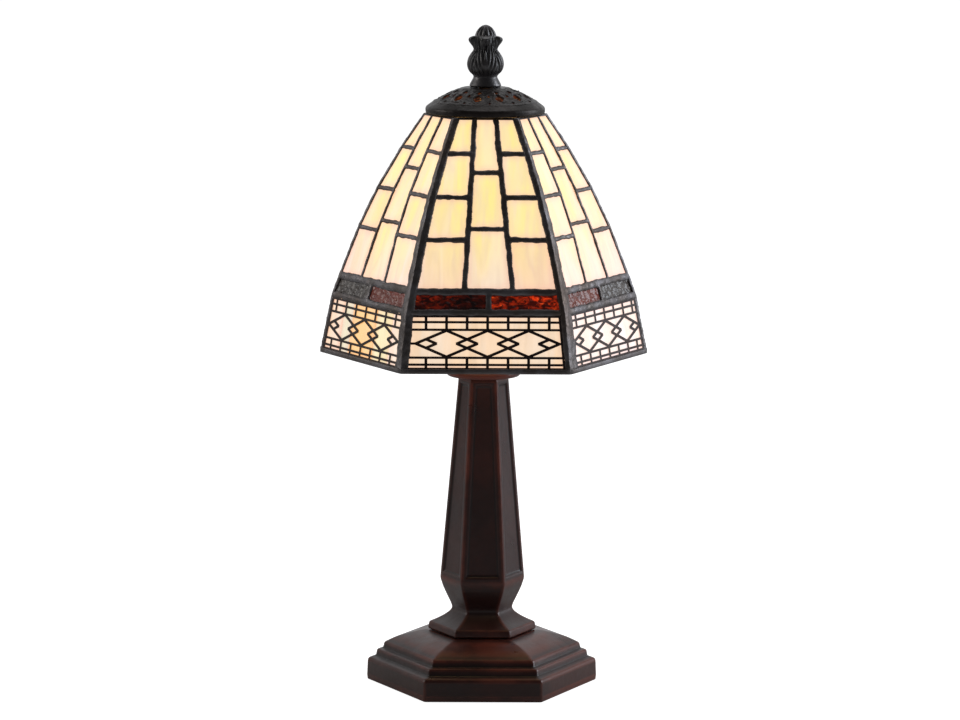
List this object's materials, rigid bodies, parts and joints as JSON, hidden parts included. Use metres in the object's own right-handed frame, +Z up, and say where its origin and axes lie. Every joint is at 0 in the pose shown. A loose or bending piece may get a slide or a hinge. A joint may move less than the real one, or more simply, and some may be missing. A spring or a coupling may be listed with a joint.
{
  "type": "stained glass table lamp",
  "caption": "Small table lamp with a leaded six-panel art glass shade, pierced cap, leaf finial and a stepped hexagonal foot and stem.",
  "frame": {"origin": "on the table, under the centre of the foot", "axes": "+Z up along the stem, -Y out of the front face of the foot and shade, +X to the viewer's right"},
  "size_m": [0.181, 0.1568, 0.361],
  "materials": {
    "casting": "satin mahogany bronze, rubbed red on its edges",
    "solder": "lumpy solder with a dark brown patina",
    "filigree": "etched sheet with a dark copper patina",
    "opal_glass": "streaky cream and peach opalescent sheet",
    "amber_glass": "hammered red amber sheet",
    "cap_metal": "charcoal, satin",
    "brass": "plain lacquered",
    "steel": "zinc plated",
    "iron": "rough",
    "phenolic": "moulded, black brown",
    "felt": "green felt",
    "lamp_glass": "frosted, warm white"
  },
  "bodies": {
    "stand": {"felt_pad": "felt", "bottom_plate": "iron", "foot": "casting", "stem": "casting", "base_weight": "iron", "base_washer": "steel", "base_nut": "steel", "cord_bushing": "phenolic", "lamp_pipe": "steel", "stem_disc": "casting", "bracket_saddle": "brass", "shade_bracket": "brass", "bracket_stud": "brass", "saddle_nut": "brass", "holder_cap": "brass", "holder_shell": "brass", "holder_body": "phenolic", "screw_shell": "brass", "centre_contact": "brass"},
    "switch": {"switch_spindle": "steel", "switch_knob": "phenolic"},
    "lamp_rise_carrier": {"lamp_tip": "steel"},
    "lamp": {"lamp_cap": "brass", "lamp_glass": "lamp_glass"},
    "shade": {"opal_glass_1": "opal_glass", "opal_glass_2": "opal_glass", "opal_glass_3": "opal_glass", "opal_glass_4": "opal_glass", "opal_glass_5": "opal_glass", "opal_glass_6": "opal_glass", "amber_glass_1": "amber_glass", "amber_glass_2": "amber_glass", "amber_glass_3": "amber_glass", "amber_glass_4": "amber_glass", "amber_glass_5": "amber_glass", "amber_glass_6": "amber_glass", "frieze_glass_1": "opal_glass", "frieze_glass_2": "opal_glass", "frieze_glass_3": "opal_glass", "frieze_glass_4": "opal_glass", "frieze_glass_5": "opal_glass", "frieze_glass_6": "opal_glass", "solder_lines_1": "solder", "solder_lines_2": "solder", "solder_lines_3": "solder", "solder_lines_4": "solder", "solder_lines_5": "solder", "solder_lines_6": "solder", "filigree_1": "filigree", "filigree_2": "filigree", "filigree_3": "filigree", "filigree_4": "filigree", "filigree_5": "filigree", "filigree_6": "filigree", "corner_frame": "solder", "rim_came": "solder", "shade_spider": "brass"},
    "cap": {"vented_cap": "cap_metal"},
    "finial_rise_carrier": {"finial_insert": "brass"},
    "finial": {"finial": "cap_metal"}
  },
  "joints": [
    {"name": "shade_turn", "type": "hinge", "parent": "stand", "child": "shade", "pos_m": [0, 0, 0.3137], "axis": [0, 0, 1], "continuous": true},
    {"name": "cap_turn", "type": "hinge", "parent": "shade", "child": "cap", "pos_m": [0, 0, 0.3138], "axis": [0, 0, 1], "continuous": true},
    {"name": "finial_rise", "type": "slide", "parent": "stand", "child": "finial_rise_carrier", "axis": [0, 0, 1], "range_m": [0, 0.00564]},
    {"name": "finial_turn", "type": "hinge", "parent": "finial_rise_carrier", "child": "finial", "pos_m": [0, 0, 0.33], "axis": [0, 0, 1], "range_deg": [0, 2160]},
    {"name": "lamp_rise", "type": "slide", "parent": "stand", "child": "lamp_rise_carrier", "axis": [0, 0, 1], "range_m": [0, 0.01015]},
    {"name": "lamp_turn", "type": "hinge", "parent": "lamp_rise_carrier", "child": "lamp", "pos_m": [0, 0, 0.22], "axis": [0, 0, 1], "range_deg": [0, 1440]},
    {"name": "switch_turn", "type": "hinge", "parent": "stand", "child": "switch", "pos_m": [0, -0.015, 0.1985], "axis": [0, 1, 0], "continuous": true}
  ],
  "couplings": [
    {"joint": "finial_turn", "follows": "finial_rise", "rad_per_m": 6679},
    {"joint": "lamp_turn", "follows": "lamp_rise", "rad_per_m": 2473.7}
  ]
}
